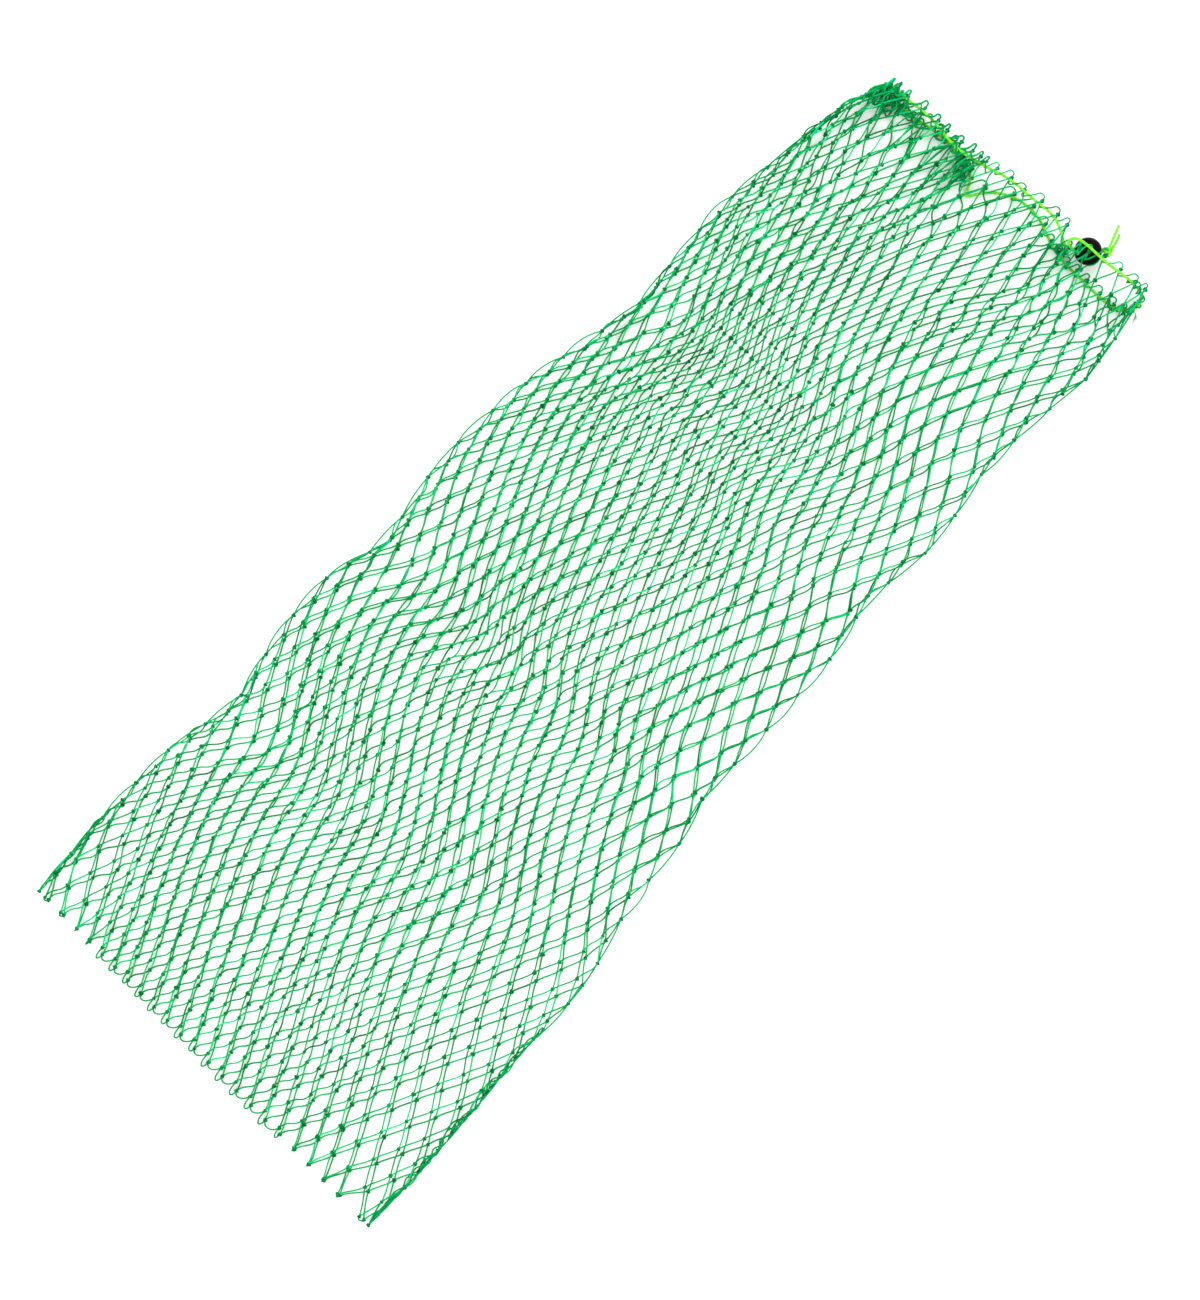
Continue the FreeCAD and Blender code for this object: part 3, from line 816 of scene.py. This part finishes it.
def make_netting():
    """Every piece of the netting: the closed half's pieces are put on the bag, and pieces that stand for a
    CAD node take its place.
    """
    knots = Knots()
    a, b = bar_ends()
    lines = bar_lines(knots, a, b)
    points = knots.points()
    row, upper, share = knots.row.ravel(), knots.upper.ravel(), knots.share.ravel()
    heaps = {}
    add_regions(heaps, lines, row[a], upper[a], share[a], False)
    hooks = mouth_loops(knots)
    is_upper = np.arange(len(hooks)) < np.count_nonzero(knots.upper[-1]) - 1
    add_regions(heaps, hooks, np.full(len(hooks), ROWS), is_upper, np.full(len(hooks), 0.5), True)
    # Painted shade: each knot's tone scatters round the dark knot shade
    shade = np.clip(rng.normal(KNOT_PAINTED_SHADE, 0.08, len(points)), 0, 0.4)
    names = [region_name(*facts, False) for facts in zip(row, upper, share, points[:, 0])]
    for name in sorted(set(names)):
        chosen = np.array([n == name for n in names])
        heaps.setdefault(name, Heap()).add(*knot_lumps(points[chosen], shade[chosen]))
    add_twine(heaps, "net_end_loops", end_loops(knots), END_SHADE)
    add_bunches(heaps, knots)
    right_edge = edge_bundle(RIGHT_SIDE, -3.0, 108.0, 3, 1.25)
    left_edge = edge_bundle(LEFT_SIDE, 16.0, 48.0, 2, 0.8)
    # Painted shade: the bundles along the sides are set darker too, for the shade among their strands
    add_twine(heaps, "net_right_fold_closed_half", right_edge, BUNCH_PAINTED_SHADE)
    add_twine(heaps, "net_left_fold_closed_half", left_edge, BUNCH_PAINTED_SHADE)
    yarns = frayed_end()
    verts, quads, coords = tubes(yarns, np.full(yarns.shape[:2], YARN_R), TWINE_SIDES)
    heaps["net_right_bunch"].add(verts, quads, coords, YARN_SHADE)
    for column, side in ((0, "left"), (ACROSS, "right")):
        lacing = side_lacing(knots, column)
        half = GATHER_ROW // 2
        add_twine(heaps, f"net_{side}_fold_closed_half", lacing[:half], LACING_SHADE)
        add_twine(heaps, f"net_{side}_fold_mouth_half", lacing[half:], LACING_SHADE)
    for name, heap in heaps.items():
        piece = heap.mesh(name, TWINE)
        gather(piece, name)
        if name in REPLACED:
            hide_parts(*REPLACED[name])


# ---------------------------------------------------------------- the drawstring and its bead

def spline_points(name, route):
    """Points along one smooth NURBS curve whose control points are the route."""
    curve = bpy.data.curves.new(name, "CURVE")
    curve.dimensions = "3D"
    curve.resolution_u = 24
    spline = curve.splines.new("NURBS")
    spline.points.add(len(route) - 1)
    for point, place in zip(spline.points, at(route)):
        point.co = (*place, 1)
    spline.order_u = 3
    spline.use_endpoint_u = True
    helper = bpy.data.objects.new(name, curve)
    mesh = bpy.data.meshes.new_from_object(helper)
    line = np.array([v.co for v in mesh.vertices])
    bpy.data.objects.remove(helper)
    bpy.data.curves.remove(curve)
    bpy.data.meshes.remove(mesh)
    line /= MM
    line[:, 1] += MIDDLE_Y
    return line


def even(line, step):
    """The same line with points an even step apart."""
    seg = np.linalg.norm(np.diff(line, axis=0), axis=1)
    along = np.concatenate([[0], np.cumsum(seg)])
    count = max(int(round(along[-1] / step)), 2)
    wanted = np.linspace(0, along[-1], count + 1)
    return np.stack([np.interp(wanted, along, line[:, i]) for i in range(3)], axis=1)


def add_cord(heap, line):
    """A braided cord: its surface swells a little with each plait, and painted light and shade run in bands
    along the braid.
    """
    along = np.arange(len(line)) * np.linalg.norm(line[1] - line[0])
    plait = 1 + PLAIT_SWELL * np.sin(2 * math.pi * along / PLAIT)
    verts, quads, coords = tubes(line[None], (CORD_D / 2 * plait)[None], CORD_SIDES)
    # Painted highlight and shade: lighter and darker bands each time the braid's strands come round
    shades = 0.5 + 0.12 * np.sin(2 * math.pi * np.repeat(along, CORD_SIDES) / CORD_TWIST)
    heap.add(verts, quads, coords, shades)


def make_loop(name, node, line, gather_line, exit_point):
    """One of the drawstring's two loops, in place of its CAD node."""
    heap = Heap()
    add_cord(heap, line)
    piece = heap.mesh(name, CORD)
    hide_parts(node)
    start, end = gather_line
    tuple(at([*start, 0.0]))
    tuple(at([*end, 0.0]))
    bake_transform(piece)
    tuple(at(exit_point))
    [tuple(p) for p in at(line[::4])]


def make_doubled_end():
    """Both cord ends, one above the other, through the bead."""
    heap = Heap()
    for side in (-1, 1):
        start = BEAD_CENTRE - ALONG_HOLE * PAIR_BACK + UP * side * PAIR_APART
        t = np.linspace(0, 1, 60)[:, None]
        add_cord(heap, start + ALONG_HOLE * PAIR_LENGTH * t)
    piece = heap.mesh("cord_pair_in_bead", CORD)
    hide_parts("drawstring_doubled_end")
    begin, end = BEAD_CENTRE - ALONG_HOLE * STRETCH_BACK, BEAD_CENTRE + ALONG_HOLE * STRETCH_AHEAD
    tuple(at(begin))
    tuple(at(end))
    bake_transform(piece)


def make_end_knot():
    """The overhand knot tied in both ends: two trefoils of cord, one smaller and turned."""
    centre = BEAD_CENTRE + ALONG_HOLE * KNOT_AHEAD
    across = np.cross(UP, ALONG_HOLE)
    heap = Heap()
    t = np.linspace(0, 2 * math.pi, 90)
    for turn, size in ((0.0, 0.74), (0.9, 0.62)):
        a = np.sin(t + turn) + 2 * np.sin(2 * t + turn)
        b = np.cos(t + turn) - 2 * np.cos(2 * t + turn)
        c = -1.5 * np.sin(3 * t)
        line = centre + (a[:, None] * ALONG_HOLE * 0.85 + b[:, None] * across * 0.9
                         + c[:, None] * UP) * size
        add_cord(heap, line)
    piece = heap.mesh("end_knot", CORD)
    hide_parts("drawstring_end_knot")
    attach(piece, "cord_end")


def make_tail(name, node, route):
    """One free end past the knot, with its cut tip melted to a small bud."""
    centre = BEAD_CENTRE + ALONG_HOLE * KNOT_AHEAD
    rise = (np.array(route[0]) - centre) / np.linalg.norm(np.array(route[0]) - centre)
    line = even(spline_points(name, [centre + rise, *route]), TAIL_STEP)
    along = np.linspace(0, 1, len(line))
    radius = CORD_D / 2 * (1 + PLAIT_SWELL * np.sin(2 * math.pi * along * len(line) * PLAITS_A_STEP))
    radius *= np.where(along > 1 - BUD_SHARE, BUD_SWELL, 1.0)
    radius[-1] = TIP_R
    heap = Heap()
    verts, quads, coords = tubes(line[None], radius[None], CORD_SIDES)
    # Painted highlight and shade in bands along the tail's braid
    heap.add(verts, quads, coords, 0.5 + 0.1 * np.sin(np.repeat(along, CORD_SIDES) * 40))
    piece = heap.mesh(name, CORD)
    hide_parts(node)
    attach(piece, "cord_end")


def finish_bead():
    """The CAD bead keeps its shape and gets its gloss."""
    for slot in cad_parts["cord_stop_bead"].material_slots:
        slot.material = BEAD


# ---------------------------------------------------------------- stage, light and camera

LIGHT_SIZE = 1.6                  # metres, as are the next two
FLOOR_REACH = 6.0
FLOOR_DROP = 0.0002               # the floor is this far below the bag


def soft_light(name, place, energy):
    """A square area light, aimed at the row origin."""
    data = bpy.data.lights.new(name, "AREA")
    data.shape = "SQUARE"
    data.size = LIGHT_SIZE
    data.energy = energy
    lamp = bpy.data.objects.new(name, data)
    bpy.context.scene.collection.objects.link(lamp)
    lamp.location = place
    lamp.rotation_euler = (-Vector(place)).to_track_quat("-Z", "Y").to_euler()


def make_stage():
    """A white floor just below the bag, even white light all round and two soft lamps."""
    mesh = bpy.data.meshes.new("floor")
    corners = [(x * FLOOR_REACH, y * FLOOR_REACH, 0) for x, y in ((-1, -1), (1, -1), (1, 1), (-1, 1))]
    mesh.from_pydata(corners, [], [(0, 1, 2, 3)])
    floor = bpy.data.objects.new("floor", mesh)
    bpy.context.scene.collection.objects.link(floor)
    floor.location.z = -FLOOR_DROP
    material, _, shader = node_material("floor_white")
    shader.inputs["Base Color"].default_value = (0.93, 0.93, 0.93, 1)
    shader.inputs["Roughness"].default_value = 0.9
    shader.inputs["Specular IOR Level"].default_value = 0.1
    mesh.materials.append(material)
    world = bpy.data.worlds.new("studio")
    bpy.context.scene.world = world
    world.use_nodes = True
    world.node_tree.nodes["Background"].inputs["Color"].default_value = (1, 1, 1, 1)
    world.node_tree.nodes["Background"].inputs["Strength"].default_value = 1.5
    soft_light("key", (-1.3, 0.6, 1.4), 22)
    soft_light("fill", (1.0, -0.6, 1.5), 6)


def make_camera():
    """A long lens that looks straight down on the whole bag."""
    data = bpy.data.cameras.new("camera")
    data.lens, data.sensor_width, data.sensor_fit = 100, 36, "AUTO"
    camera = bpy.data.objects.new("camera", data)
    bpy.context.scene.collection.objects.link(camera)
    x, y, _ = at(CAMERA_OVER)
    camera.location = (x, y, SEEN_HEIGHT * data.lens / data.sensor_width)
    camera.rotation_euler = (0, 0, CAMERA_TURN)
    data.clip_end = 50
    bpy.context.scene.camera = camera
    bpy.context.scene.view_settings.view_transform = "Standard"


make_camera()
HOLE_BACK = BEAD_CENTRE - ALONG_HOLE * BEAD_R
LEFT_LINE = even(spline_points("left_route", LEFT_LOOP), CORD_STEP)
RIGHT_LINE = even(spline_points("right_route", RIGHT_LOOP), CORD_STEP)
make_loop("drawstring_round_left", "drawstring_left_loop", LEFT_LINE, LEFT_GATHER,
          HOLE_BACK)
make_loop("drawstring_round_right", "drawstring_right_loop", RIGHT_LINE,
          RIGHT_GATHER, LEFT_LOOP[-1])
make_doubled_end()
make_end_knot()
make_tail("tail_long", "drawstring_tail_long", LONG_TAIL)
make_tail("tail_short", "drawstring_tail_short", SHORT_TAIL)
finish_bead()
make_netting()
make_stage()
